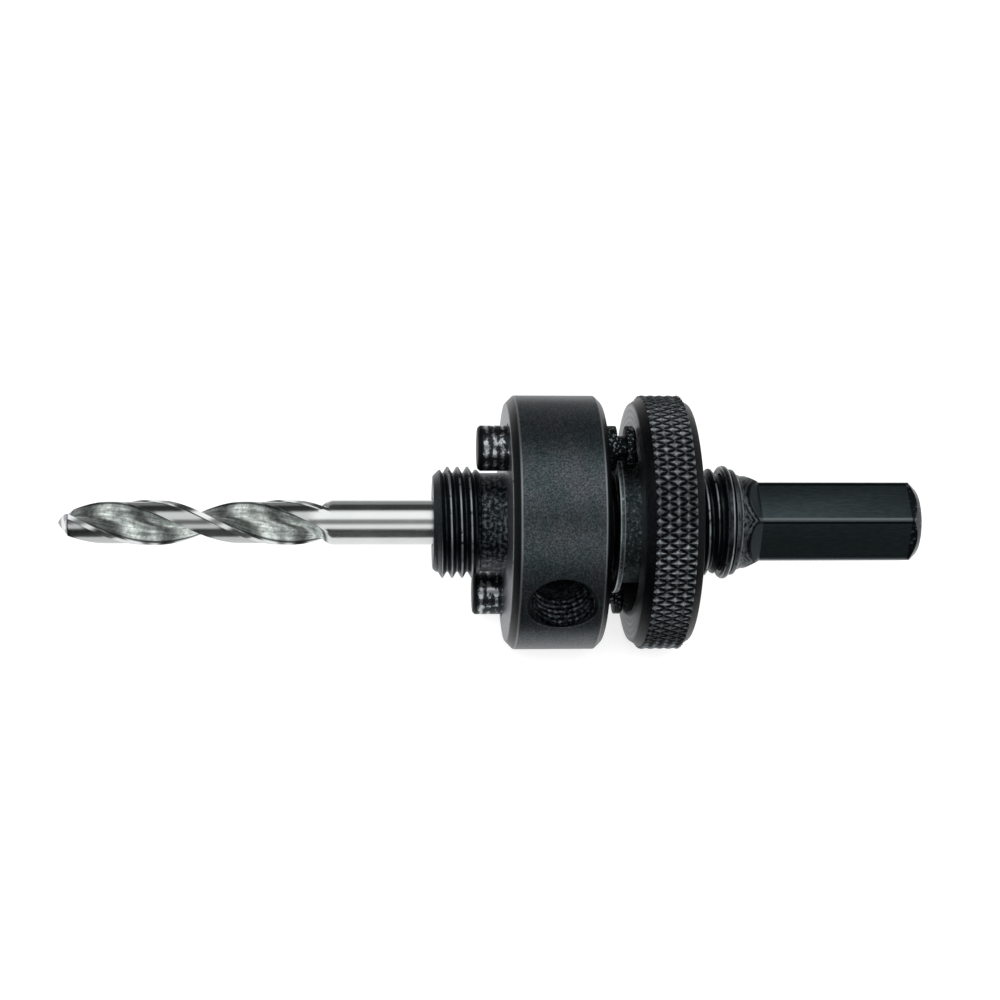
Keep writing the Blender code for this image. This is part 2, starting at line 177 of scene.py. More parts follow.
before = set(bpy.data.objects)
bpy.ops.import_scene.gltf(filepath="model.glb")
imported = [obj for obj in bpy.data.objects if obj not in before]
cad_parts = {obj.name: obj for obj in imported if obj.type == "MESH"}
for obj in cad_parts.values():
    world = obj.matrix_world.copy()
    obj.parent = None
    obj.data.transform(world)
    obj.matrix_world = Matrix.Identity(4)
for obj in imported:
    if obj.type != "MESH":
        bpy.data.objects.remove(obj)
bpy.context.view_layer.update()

# Stations along the axis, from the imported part
body_low, body_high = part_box("arbor_body")
drill_low, drill_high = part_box("pilot_drill")
pin_low, pin_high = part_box("drive_pin_upper")
nut_low, nut_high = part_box("knurled_nut")
ring_low, ring_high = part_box("retaining_ring")
screw_low, screw_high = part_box("set_screw")
nose_front = body_low.x
shank_end = body_high.x
collar_front = nose_front + COLLAR_BEHIND_NOSE
collar_rear = collar_front + COLLAR_LENGTH
relief_front = collar_front - RELIEF_LENGTH
hex_foot = shank_end - HEX_FLAT_LENGTH
neck_rear = hex_foot - HEX_RAMP_LENGTH
neck_front = neck_rear - NECK_LENGTH
step_front = neck_front - NECK_STEP_LENGTH
land_rear = step_front - NECK_SHOULDER_LENGTH
groove_rear = land_rear - LAND_LENGTH
groove_front = groove_rear - GROOVE_LENGTH
drill_tip = drill_low.x
drill_end = drill_high.x
pin_front = pin_low.x
pin_rear = pin_high.x
flange_front = nut_low.x
flange_rear = flange_front + FLANGE_THICKNESS
nut_front = flange_rear + HUB_NECK_LENGTH
nut_rear = nut_high.x
screw_x = (screw_low.x + screw_high.x) / 2
flute_end = drill_tip + DRILL_FLUTE_LENGTH + DRILL_RUNOUT_LENGTH

# Radii that follow from the pieces that meet
hex_apothem = HEX_WIDTH / 2
neck_radius = hex_apothem * HEX_CORNER_SHARE + NECK_OVER_CORNERS
collar_radius = body_high.z
nose_thread_radius = NOSE_THREAD_DIAMETER / 2
rear_thread_radius = nose_thread_radius - REAR_THREAD_BELOW_NOSE
rear_root_radius = rear_thread_radius - THREAD_DEPTH
land_radius = rear_thread_radius - LAND_BELOW_THREAD
groove_radius = rear_thread_radius - GROOVE_DEPTH
relief_radius = nose_thread_radius - RELIEF_BELOW_THREAD
nose_face_radius = nose_thread_radius - NOSE_CHAMFER
drill_radius = (drill_high.z - drill_low.z) / 2
bore_radius = drill_radius + SLIDE_GAP
point_length = drill_radius / math.tan(math.radians(DRILL_POINT_ANGLE / 2))
pin_radius = (pin_high.z - pin_low.z) / 2
pin_neck_radius = PIN_NECK_DIAMETER / 2
pin_place = (pin_low + pin_high) / 2
pin_circle_radius = math.hypot(pin_place.y, pin_place.z)
nut_bore_radius = rear_thread_radius + SLIDE_GAP
hub_radius = nut_bore_radius + HUB_WALL
flange_radius = pin_circle_radius - pin_neck_radius - RUNNING_GAP
nut_radius = nut_high.z
knurl_root_radius = nut_radius - KNURL_DEPTH
nut_front_face_radius = nut_radius - NUT_FRONT_CHAMFER
nut_rear_face_radius = nut_radius - NUT_REAR_CHAMFER
nut_recess_radius = nut_front_face_radius - NUT_RIM_WIDTH
ring_outer_radius = ring_high.z
screw_radius = (screw_high.x - screw_low.x) / 2
screw_outer = -screw_low.y
screw_tip = -screw_high.y
well_radius = screw_radius + RUNNING_GAP


def enter(mode):
    bpy.ops.object.mode_set(mode=mode)


def rest_selection():
    """Leave nothing selected, so that an operator acts on the new piece alone."""
    if bpy.context.mode != "OBJECT":
        enter("OBJECT")
    bpy.ops.object.select_all(action="DESELECT")


def take_up(piece):
    rest_selection()
    bpy.context.view_layer.objects.active = piece
    piece.select_set(True)


def add_object(name, data):
    thing = bpy.data.objects.new(name, data)
    bpy.context.scene.collection.objects.link(thing)
    return thing


def begin(name, operator, **settings):
    """Add a primitive by its operator, with nothing else selected."""
    rest_selection()
    operator(**settings)
    piece = bpy.context.object
    piece.name = name
    return piece


def polar(x, radius, angle):
    """A point on a circle round the axis. Angles run from -Y towards +Z."""
    return Vector((x, -radius * math.cos(angle), radius * math.sin(angle)))


def eased(outline, size=EDGE_ROUNDING):
    """Round the corners of an outline a little, as an edge broken with a file is."""
    points = [Vector(point) for point in outline]
    rounded = [points[0]]
    for before, corner, after in zip(points, points[1:], points[2:]):
        reach = min(size, (before - corner).length * 0.4, (after - corner).length * 0.4)
        start = corner + (before - corner).normalized() * reach
        end = corner + (after - corner).normalized() * reach
        rounded += [start, (start + end) / 4 + corner / 2, end]
    return rounded + [points[-1]]


def evenly(start, end, steps):
    """Evenly spaced values, with both ends."""
    return [start + (end - start) * step / steps for step in range(steps + 1)]


def draw_chain(name, places):
    """Start a piece in edit mode as a chain of edges, extruded from one vertex."""
    piece = begin(name, bpy.ops.mesh.primitive_plane_add, size=MM, location=places[0])
    bpy.ops.object.transform_apply(location=True)
    enter("EDIT")
    bpy.ops.mesh.merge(type="CENTER")
    for place, following in zip(places, places[1:]):
        bpy.ops.mesh.extrude_region_move(TRANSFORM_OT_translate={"value": following - place})
    bpy.ops.mesh.select_all(action="SELECT")
    return piece


def turn_outline(name, outline, steps=SMALL_STEPS, first_angle=HEX_CORNER_ANGLE):
    """Draw an outline of (x, radius) points and spin it round the axis."""
    angle = math.radians(first_angle)
    piece = draw_chain(name, [polar(x, radius, angle) for x, radius in outline])
    bpy.ops.mesh.spin(steps=steps, angle=math.tau, center=(0, 0, 0), axis=(1, 0, 0))
    close_up()
    return piece


def close_up():
    """Weld the doubles, turn the faces outward and go back to object mode."""
    bpy.ops.mesh.select_all(action="SELECT")
    bpy.ops.mesh.remove_doubles(threshold=WELD)
    bpy.ops.mesh.normals_make_consistent(inside=False)
    enter("OBJECT")


def pick_edges(piece, wanted):
    """Select in edit mode the edges whose two ends satisfy a test."""
    take_up(piece)
    enter("EDIT")
    bpy.ops.mesh.select_mode(type="EDGE")
    bpy.ops.mesh.select_all(action="DESELECT")
    enter("OBJECT")
    points = piece.data.vertices
    for edge in piece.data.edges:
        first, second = (points[index].co for index in edge.vertices)
        edge.select = wanted(first, second)
    enter("EDIT")


def bevel_edges(piece, wanted, width, segments):
    pick_edges(piece, wanted)
    bpy.ops.mesh.bevel(offset=width, segments=segments)
    bpy.ops.mesh.select_mode(type="VERT")
    enter("OBJECT")


def carve(piece, cutter, operation="DIFFERENCE"):
    """Cut the piece with another, which is used up."""
    modifier = piece.modifiers.new("carve", "BOOLEAN")
    modifier.operation = operation
    modifier.solver = "EXACT"
    modifier.object = cutter
    take_up(piece)
    bpy.ops.object.modifier_apply(modifier=modifier.name)
    bpy.data.objects.remove(cutter)


def move_piece(piece, matrix):
    """Put a finished mesh at its place, with its object left at the origin."""
    take_up(piece)
    piece.matrix_world = matrix
    bpy.ops.object.transform_apply(location=True, rotation=True, scale=True)


def write_form(form, mesh):
    """Turn the faces outward and write the finished form into a mesh."""
    bmesh.ops.recalc_face_normals(form, faces=form.faces)
    form.to_mesh(mesh)
    form.free()


def finish_piece(piece, body, nodes):
    take_up(piece)
    bpy.ops.object.shade_smooth_by_angle(angle=SMOOTH_ANGLE)
    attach(piece, body)
    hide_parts(*nodes)
    return piece


def arbor_outline():
    """The turned bar from its nose face to the shank end. Both threads are put in later."""
    nose = [(nose_front, 0), (nose_front, nose_face_radius), (relief_front, relief_radius)]
    collar = eased([
        (relief_front, relief_radius), (collar_front, relief_radius),
        (collar_front, collar_radius - COLLAR_FRONT_CHAMFER),
        (collar_front + COLLAR_FRONT_CHAMFER, collar_radius),
        (collar_rear - COLLAR_REAR_CHAMFER, collar_radius),
        (collar_rear, collar_radius - COLLAR_REAR_CHAMFER), (collar_rear, rear_root_radius),
    ])
    shank = eased([
        (groove_front, rear_root_radius), (groove_front, groove_radius),
        (groove_rear, groove_radius), (groove_rear, land_radius),
        (land_rear, land_radius), (step_front, neck_radius + NECK_STEP_HEIGHT),
        (neck_front, neck_radius + NECK_STEP_HEIGHT * 0.5), (neck_front, neck_radius),
        (shank_end - SHANK_END_CHAMFER, neck_radius), (shank_end, neck_radius - SHANK_END_CHAMFER),
        (shank_end, 0),
    ])
    return nose + collar[1:] + shank


def shank_envelope():
    """The six-sided form that leaves the flats, their ramps and a full round bar beyond."""
    slope = (neck_radius - hex_apothem) / HEX_RAMP_LENGTH
    wide = collar_radius * 2 * HEX_CORNER_SHARE
    ramp_top = (hex_apothem + slope * (hex_foot - neck_front)) * HEX_CORNER_SHARE
    flat = hex_apothem * HEX_CORNER_SHARE
    envelope = turn_outline("shank_envelope", [
        (nose_front - CUT_MARGIN, 0), (nose_front - CUT_MARGIN, wide),
        (neck_front, wide), (neck_front, ramp_top),
        (hex_foot, flat), (shank_end + CUT_MARGIN, flat),
        (shank_end + CUT_MARGIN, 0),
    ], steps=6)

    def on_ridge(first, second):
        along = abs(first.x - second.x) > HEX_FLAT_LENGTH / 2
        return along and max(first.x, second.x) > shank_end and first.yz.length > flat / 2

    bevel_edges(envelope, on_ridge, HEX_RIDGE_ROUNDING, 3)
    return envelope


def drill_bore():
    cone = bore_radius / math.tan(math.radians(DRILL_POINT_ANGLE / 2))
    return turn_outline("drill_bore", [
        (nose_front - CUT_MARGIN, 0), (nose_front - CUT_MARGIN, bore_radius + HOLE_FLARE + CUT_MARGIN),
        (nose_front + HOLE_FLARE, bore_radius), (drill_end + RUNNING_GAP, bore_radius),
        (drill_end + RUNNING_GAP + cone, 0),
    ])


def pin_hole(place):
    radius = pin_radius + SLIDE_GAP
    hole = turn_outline("pin_hole", [
        (collar_front - CUT_MARGIN, 0), (collar_front - CUT_MARGIN, radius + HOLE_FLARE + CUT_MARGIN),
        (collar_front + HOLE_FLARE, radius), (collar_rear - HOLE_FLARE, radius),
        (collar_rear + CUT_MARGIN, radius + HOLE_FLARE + CUT_MARGIN), (collar_rear + CUT_MARGIN, 0),
    ])
    move_piece(hole, Matrix.Translation((0, place.y, place.z)))
    return hole


def point_to_front(piece):
    """Turn a piece made along +X so that it points out along -Y at the set screw's station."""
    move_piece(piece, Matrix.Translation((screw_x, 0, 0)) @ Matrix.Rotation(-math.pi / 2, 4, "Z"))
    return piece


def screw_well():
    flare = WELL_COUNTERSINK + CUT_MARGIN
    bottom = bore_radius - CUT_MARGIN
    return point_to_front(turn_outline("screw_well", [
        (bottom, 0), (bottom, well_radius),
        (collar_radius - WELL_COUNTERSINK, well_radius),
        (collar_radius + CUT_MARGIN, well_radius + flare), (collar_radius + CUT_MARGIN, 0),
    ]))


def well_thread():
    """The last turns of the thread in the well's wall, swept from one tooth."""
    start = collar_radius - WELL_COUNTERSINK * 2 - WELL_THREAD_PITCH * WELL_THREAD_TURNS
    half = WELL_THREAD_PITCH * 0.3
    crest = well_radius - WELL_THREAD_HEIGHT
    buried = well_radius + WELL_THREAD_HEIGHT
    tooth = [(start - half, buried), (start, crest), (start + half, buried)]
    piece = draw_chain("well_thread", [Vector((x, radius, 0)) for x, radius in tooth])
    bpy.ops.mesh.edge_face_add()
    enter("OBJECT")
    sweep = piece.modifiers.new("sweep", "SCREW")
    sweep.axis = "X"
    sweep.angle = math.tau * WELL_THREAD_TURNS
    sweep.screw_offset = WELL_THREAD_PITCH * WELL_THREAD_TURNS
    sweep.steps = SMALL_STEPS * WELL_THREAD_TURNS // 2
    sweep.render_steps = sweep.steps
    take_up(piece)
    bpy.ops.object.modifier_apply(modifier=sweep.name)
    enter("EDIT")
    bpy.ops.mesh.select_all(action="SELECT")
    bpy.ops.mesh.remove_doubles(threshold=WELD)
    bpy.ops.mesh.fill_holes(sides=3)
    close_up()
    return point_to_front(piece)


def thread_rows(front, rear, crest, ends, phase):
    """Points of a right-hand vee thread, row by row along its helix, held between two stations."""
    turns = math.ceil((rear - front) / THREAD_PITCH) + 2
    rows = []
    for turn in range(-1, turns):
        for share, depth in THREAD_TOOTH:
            row = []
            for column in range(FINE_STEPS + 1):
                part = column / FINE_STEPS
                x = front + THREAD_PITCH * (turn + share - part + phase)
                radius = crest - THREAD_DEPTH * depth
                radius = min(radius, ends[0] + x - front, ends[1] + rear - x)
                if x <= front:
                    x, radius = front, ends[0]
                if x >= rear:
                    x, radius = rear, ends[1]
                angle = math.radians(HEX_CORNER_ANGLE) + math.tau * part
                row.append(polar(x, radius, angle))
            rows.append(row)
    return rows


def put_in_thread(piece, front, rear, crest, ends, phase):
    """Take out the plain faces between two rings of the bar and skin the thread in their place."""
    form = bmesh.new()
    form.from_mesh(piece.data)
    lowest = min(ends) - WELD
    plain = []
    for face in form.faces:
        reach = [point.co.x for point in face.verts]
        within = min(reach) > front - WELD and max(reach) < rear + WELD
        outside = min(point.co.yz.length for point in face.verts) > lowest
        if within and outside and max(reach) - min(reach) > WELD:
            plain.append(face)
    bmesh.ops.delete(form, geom=plain, context="FACES")
    rows = thread_rows(front, rear, crest, ends, phase)
    for row, following in zip(rows, rows[1:]):
        for column in range(FINE_STEPS):
            corners = [row[column], row[column + 1], following[column + 1], following[column]]
            distinct = []
            for corner in corners:
                if all((corner - other).length > WELD / 10 for other in distinct):
                    distinct.append(corner)
            if len(distinct) > 2:
                form.faces.new([form.verts.new(corner) for corner in distinct])
    bmesh.ops.remove_doubles(form, verts=form.verts, dist=WELD)
    bmesh.ops.dissolve_degenerate(form, edges=form.edges, dist=WELD / 10)
    write_form(form, piece.data)


def model_arbor():
    arbor = turn_outline("arbor", arbor_outline(), steps=FINE_STEPS)
    carve(arbor, shank_envelope(), "INTERSECT")
    for cutter in (drill_bore(), pin_hole(pin_place), pin_hole(-pin_place), screw_well()):
        carve(arbor, cutter)
    nose_ends = (nose_face_radius, relief_radius)
    put_in_thread(arbor, nose_front, relief_front, nose_thread_radius, nose_ends, NOSE_THREAD_PHASE)
    rear_ends = (rear_root_radius, rear_root_radius)
    put_in_thread(arbor, collar_rear, groove_front, rear_thread_radius, rear_ends, REAR_THREAD_PHASE)
    teeth = well_thread()
    take_up(arbor)
    teeth.select_set(True)
    bpy.ops.object.join()
    return finish_piece(arbor, "arbor", ["arbor_body"])


def flute_section():
    """Share of the drill's radius at each angle of one half turn: land, margin and hollow flute."""
    land = math.radians(DRILL_LAND_ANGLE)
    margin = math.radians(DRILL_MARGIN_ANGLE)
    edge = land + margin
    section = [(angle, DRILL_LAND_SHARE) for angle in evenly(0, land, LAND_STEPS)]
    section += [(land + margin * share, 1.0) for share in (DRILL_MARGIN_RISE, 0.5, 1.0)]
    middle = (math.pi + edge) / 2
    for index in range(1, FLUTE_STEPS):
        side = -math.cos(math.pi * index / FLUTE_STEPS)
        rim = 1.0 if side < 0 else DRILL_LAND_SHARE
        bend = math.acos(DRILL_WEB_SHARE / rim)
        hollow = DRILL_WEB_SHARE / math.cos(bend * side)
        section.append((middle + (math.pi - middle) * side, hollow))
    return section


def model_drill():
    """Sweep the two-fluted section along its helix. Its ends are a cone with a small flat, and a chamfer."""
    half = flute_section()
    section = half + [(angle + math.pi, share) for angle, share in half]
    point_end = drill_tip + point_length
    stations = evenly(drill_tip + point_length * DRILL_CHISEL_SHARE, point_end, POINT_STEPS)
    stations += evenly(point_end, flute_end, FLUTED_STEPS)[1:]
    stations += [drill_end - PIN_CHAMFER, drill_end]
    form = bmesh.new()
    previous = None
    for x in stations:
        turned = math.tau * (min(x, flute_end) - drill_tip) / DRILL_LEAD
        twist = math.radians(DRILL_FIRST_ANGLE) - turned
        fade = min(max((flute_end - x) / DRILL_RUNOUT_LENGTH, 0), 1)
        fade = fade * fade * (3 - 2 * fade)
        tip = min(1, (x - drill_tip) / point_length)
        tail = PIN_CHAMFER / drill_radius if x == drill_end else 0
        ring = []
        for angle, share in section:
            radius = drill_radius * min(tip, 1 - fade * (1 - share) - tail)
            ring.append(form.verts.new(polar(x, radius, angle + twist)))
        if previous is None:
            form.faces.new(ring)
        else:
            for index, point in enumerate(ring):
                beside = (index + 1) % len(ring)
                form.faces.new((previous[index], previous[beside], ring[beside], point))
        previous = ring
    form.faces.new(previous)
    mesh = bpy.data.meshes.new("drill")
    write_form(form, mesh)
    drill = add_object("drill", mesh)
    return finish_piece(drill, "arbor", ["pilot_drill"])


def model_pin(name, node, place):
    """Round pin with a turned groove that takes the nut's flange, and a head behind it."""
    groove_start = flange_front - RUNNING_GAP
    groove_end = flange_rear + RUNNING_GAP
    pin = turn_outline(name, eased([
        (pin_front, 0), (pin_front, pin_radius - PIN_CHAMFER),
        (pin_front + PIN_CHAMFER, pin_radius), (groove_start, pin_radius),
        (groove_start, pin_neck_radius), (groove_end, pin_neck_radius),
        (groove_end, pin_radius), (pin_rear - PIN_CHAMFER, pin_radius),
        (pin_rear, pin_radius - PIN_CHAMFER), (pin_rear, 0),
    ]))
    move_piece(pin, Matrix.Translation((0, place.y, place.z)))
    return finish_piece(pin, "drive_pins", [node])


def knurl_drop(around, along):
    """Depth of the knurl, from 0 on a diamond's top to 1 in a groove. Both inputs count diamonds."""
    first = abs((around + along + 0.5) % 1 - 0.5) * 2
    second = abs((around - along + 0.5) % 1 - 0.5) * 2
    return max(first, second) - min(first, second) * 0.3


def knurl_band(form, front, rear):
    """Skin the band of diamonds between two stations, with the edge rings at its root radius."""
    cells = 2 * KNURL_CELLS
    columns = cells * KNURL_COUNT
    first_angle = math.radians(HEX_CORNER_ANGLE)
    angles = [first_angle + math.tau * column / columns for column in range(columns)]
    inner = range(math.floor(KNURL_START * cells) + 1, math.ceil(KNURL_END * cells))
    places = [KNURL_START] + [row / cells for row in inner] + [KNURL_END]

    def ring_at(x, drops):
        radii = [nut_radius - KNURL_DEPTH * drop for drop in drops]
        return [form.verts.new(polar(x, radius, angle)) for radius, angle in zip(radii, angles)]

    rings = [ring_at(front, [1] * columns)]
    for place in places:
        x = front + (rear - front) * (place - KNURL_START) / (KNURL_END - KNURL_START)
        rings.append(ring_at(x, [knurl_drop(column / cells, place) for column in range(columns)]))
    rings.append(ring_at(rear, [1] * columns))
    for row, (ring, following) in enumerate(zip(rings, rings[1:])):
        step = math.floor(KNURL_START * cells) + row - 1
        for column in range(columns):
            beside = (column + 1) % columns
            corners = [ring[column], ring[beside], following[beside], following[column]]
            if (step + column) // KNURL_CELLS % 2 == (step - column) // KNURL_CELLS % 2:
                corners = corners[1:] + corners[:1]
            form.faces.new(corners[:3])
            form.faces.new((corners[0], *corners[2:]))


def model_nut():
    """Knurled rim, recessed front face, and a hub whose flange sits in the pins' grooves."""
    recess_floor = nut_front + NUT_RECESS_DEPTH
    band_front = nut_front + NUT_FRONT_CHAMFER
    band_rear = nut_rear - NUT_REAR_CHAMFER
    nut = turn_outline("nut", eased([
        (band_front, knurl_root_radius), (nut_front, nut_front_face_radius),
        (nut_front, nut_recess_radius), (recess_floor, nut_recess_radius),
        (recess_floor, hub_radius), (flange_rear, hub_radius),
        (flange_rear, flange_radius), (flange_front, flange_radius),
        (flange_front, nut_bore_radius), (nut_rear, nut_bore_radius),
        (nut_rear, nut_rear_face_radius), (band_rear, knurl_root_radius),
    ]), steps=2 * KNURL_CELLS * KNURL_COUNT)
    form = bmesh.new()
    form.from_mesh(nut.data)
    knurl_band(form, band_front, band_rear)
    bmesh.ops.remove_doubles(form, verts=form.verts, dist=WELD)
    write_form(form, nut.data)
    return finish_piece(nut, "locking_nut", ["knurled_nut"])


def model_ring():
    """Round spring wire, bent nearly all the way round, with flat ends."""
    wire = (ring_high.x - ring_low.x) / 2
    middle = (ring_low.x + ring_high.x) / 2
    radius = ring_outer_radius - wire
    span = 360 - RING_OPENING
    start = math.radians(RING_MIDDLE_OF_OPENING + RING_OPENING / 2)
    circle = bpy.ops.mesh.primitive_circle_add
    ring = begin("spring_ring", circle, vertices=WIRE_STEPS, radius=wire, fill_type="NGON")
    move_piece(ring, Matrix.Rotation(-start, 4, "X") @ Matrix.Translation((middle, -radius, 0)))
    enter("EDIT")
    bpy.ops.mesh.select_all(action="SELECT")
    bpy.ops.mesh.spin(steps=RING_STEPS, angle=-math.radians(span), center=(0, 0, 0), axis=(1, 0, 0))
    close_up()
    return finish_piece(ring, "arbor", ["retaining_ring"])


def screw_socket():
    corner = SCREW_SOCKET_WIDTH / 2 * HEX_CORNER_SHARE
    bottom = screw_outer - SCREW_SOCKET_DEPTH
    return turn_outline("screw_socket", [
        (bottom - SCREW_SOCKET_CONE, 0), (bottom, corner),
        (screw_outer + CUT_MARGIN, corner), (screw_outer + CUT_MARGIN, 0),
    ], steps=6, first_angle=SCREW_SOCKET_TURN)


def model_screw():
    point = SCREW_POINT_DIAMETER / 2
    screw = turn_outline("clamping_screw", eased([
        (screw_tip, 0), (screw_tip, point),
        (screw_tip + screw_radius - point, screw_radius), (screw_outer - SCREW_CHAMFER, screw_radius),
        (screw_outer, screw_radius - SCREW_CHAMFER), (screw_outer, 0),
    ]))
    carve(screw, screw_socket())
    point_to_front(screw)
    return finish_piece(screw, "clamp_screw", ["set_screw"])


def add_camera():
    data = bpy.data.cameras.new("camera")
    data.sensor_width = SENSOR_WIDTH
    data.lens = SENSOR_WIDTH * CAMERA_DISTANCE / VIEW_WIDTH
    data.clip_start = 10 * MM
    camera = add_object("camera", data)
    elevation = math.radians(CAMERA_ELEVATION)
    yaw = math.radians(CAMERA_YAW)
    up = Vector((0, math.sin(elevation), math.cos(elevation)))
    back = Vector((0, -math.cos(elevation), math.sin(elevation)))
    back = back * math.cos(yaw) - Vector((1, 0, 0)) * math.sin(yaw)
    right = up.cross(back)
    place = Vector((AIM_X, 0, 0)) + up * AIM_ABOVE_AXIS + back * CAMERA_DISTANCE
    turn = Matrix((right, up, back)).transposed().to_4x4()
    camera.matrix_world = Matrix.Translation(place) @ turn
    bpy.context.scene.camera = camera


def grey(level):
    return (level, level, level, 1)


class Ink:
    """A shader tree, with a short call for each kind of node that the materials use."""

    def __init__(self, tree):
        self.tree = tree

    def feed(self, socket, value):
        if isinstance(value, bpy.types.NodeSocket):
            self.tree.links.new(value, socket)
        elif value is not None:
            socket.default_value = value

    def put(self, kind, *inputs, **settings):
        """Add a node, with its settings, and feed its inputs in order with links or plain values."""
        node = self.tree.nodes.new("ShaderNode" + kind)
        for name, value in settings.items():
            setattr(node, name, value)
        for socket, value in zip(node.inputs, inputs):
            self.feed(socket, value)
        return node

    def named(self, node, **inputs):
        """Feed a node's inputs by name. Returns its outputs."""
        for name, value in inputs.items():
            self.feed(node.inputs[name.replace("_", " ").title()], value)
        return node.outputs

    def place(self):
        return self.put("TexCoord").outputs["Object"]

    def figure(self, operation, *inputs, clamp=False):
        return self.put("Math", *inputs, operation=operation, use_clamp=clamp).outputs[0]

    def plus(self, first, second):
        return self.figure("ADD", first, second)

    def minus(self, first, second):
        return self.figure("SUBTRACT", first, second)

    def times(self, first, second):
        return self.figure("MULTIPLY", first, second)

    def line(self, value, slope, start):
        return self.figure("MULTIPLY_ADD", value, slope, start)

    def largest(self, *masks):
        total = masks[0]
        for mask in masks[1:]:
            total = self.figure("MAXIMUM", total, mask)
        return total

    def spread(self, value, low, high, out_low=0.0, out_high=1.0):
        """Map a value between two limits, smoothly and held at both ends."""
        node = self.put("MapRange", value, interpolation_type="SMOOTHSTEP")
        return self.named(node, from_min=low, from_max=high, to_min=out_low, to_max=out_high)[0]

    def past(self, value, limit, start, end):
        """From 0 to 1 where a value in mm passes a limit in metres, between two distances from it."""
        return self.spread(value, limit / MM + start, limit / MM + end)

    def between(self, value, low, high, soft=0.05):
        """1 between two limits and 0 outside them."""
        above = self.spread(value, low - soft, low + soft)
        return self.times(above, self.spread(value, high + soft, high - soft))

    def blend(self, share, first, second):
        """Mix two colours."""
        node = self.put("Mix", share, data_type="RGBA")
        for socket, value in ((node.inputs[6], first), (node.inputs[7], second)):
            self.feed(socket, value if isinstance(value, bpy.types.NodeSocket) else (*value, 1.0))
        return node.outputs[2]

    def level(self, share, first, second):
        """Mix two numbers."""
        node = self.put("Mix", share, data_type="FLOAT")
        self.feed(node.inputs[2], first)
        self.feed(node.inputs[3], second)
        return node.outputs[0]

    def noise(self, vector, scale, detail, roughness, distortion=0.0):
        grains = {"detail": detail, "roughness": roughness, "distortion": distortion}
        return self.named(self.put("TexNoise"), vector=vector, scale=scale, **grains)["Fac"]

    def specks(self, noise):
        """The highest grains of a noise."""
        return self.spread(noise, 0.56, 0.64)

    def combine(self, x, y, z):
        return self.put("CombineXYZ", x, y, z).outputs[0]

    def scaled(self, vector, scale):
        return self.named(self.put("VectorMath", vector, operation="SCALE"), scale=scale)[0]

    def use(self, name, **inputs):
        node = self.put("Group")
        node.node_tree = bpy.data.node_groups[name]
        return self.named(node, **inputs)

    def worn(self, value, centre, width, whole):
        return self.use("wear_and_highlight_line", value=value, centre=centre / MM, width=width, whole=whole)["Mask"]

    def marks(self, value, spacing):
        return self.use("turned_marks", value=value, spacing=spacing)["Height"]

    def lay(self, paint, mask, share=None):
        """Lay a colour over the colour so far, through a mask or a share of one."""
        self.colour = self.blend(mask if share is None else self.times(mask, share), self.colour, paint)

    def dress(self, metallic, roughness, height, bump):
        """Give the shader the colour as laid, and a bump from one height. Returns the material."""
        relief = self.named(self.put("Bump"), strength=bump, distance=BUMP_DISTANCE, height=height)
        inputs = {"base_color": self.colour, "metallic": metallic, "roughness": roughness}
        self.named(self.tree.nodes["Principled BSDF"], normal=relief["Normal"], **inputs)
        return self.material


def start_group(name, inputs, outputs):
    """Open a node group of named numbers. Returns its ink, its given values and its result node."""
    group = bpy.data.node_groups.new(name, "ShaderNodeTree")
    for socket, value in inputs.items():
        made = group.interface.new_socket(socket, in_out="INPUT", socket_type="NodeSocketFloat")
        made.default_value = value
    for socket in outputs:
        group.interface.new_socket(socket, in_out="OUTPUT", socket_type="NodeSocketFloat")
    given = group.nodes.new("NodeGroupInput").outputs
    return Ink(group), given, group.nodes.new("NodeGroupOutput")


def bar_place_group():
    """Station along the bar, distance from its axis and angle round it, in mm and radians."""
    ink, _, result = start_group("bar_place", {}, ["Station", "Radius", "Around"])
    x, y, z = ink.put("SeparateXYZ", ink.place()).outputs
    away = ink.figure("SQRT", ink.plus(ink.times(y, y), ink.times(z, z)))
    around = ink.figure("ARCTAN2", z, y)
    ink.named(result, station=ink.times(x, 1 / MM), radius=ink.times(away, 1 / MM), around=around)


def flats_group():
    """Place on a six-sided bar: height above the axis square to the nearest flat, and share of a side."""
    ink, given, result = start_group("bar_flats", {"Radius": 1.0, "Around": 0.0}, ["Height", "Side"])
    first_flat = (180 - HEX_CORNER_ANGLE + 30) / 60
    turns = ink.line(given["Around"], 6 / math.tau, 0.5 - first_flat)
    side = ink.minus(ink.figure("FRACT", turns), 0.5)
    lean = ink.figure("COSINE", ink.times(side, math.tau / 6))
    ink.named(result, height=ink.times(given["Radius"], lean), side=side)


def sandy_group():
    """Grain of blasted, blackened steel: a speckle mask, a slow mottle and a height."""
    results = ["Speckle", "Mottle", "Height"]
    ink, given, result = start_group("sandy_grain", {"Grain": 2600.0, "Mottle": 320.0}, results)
    place = ink.place()
    fine = ink.noise(place, given["Grain"], 5.0, 0.8)
    finer = ink.noise(place, ink.times(given["Grain"], 2.3), 2.0, 0.6)
    slow = ink.noise(place, given["Mottle"], 4.0, 0.6)
    speckle, mottle = ink.spread(fine, 0.40, 0.66), ink.spread(slow, 0.35, 0.65)
    ink.named(result, speckle=speckle, mottle=mottle, height=ink.line(finer, 0.35, fine))


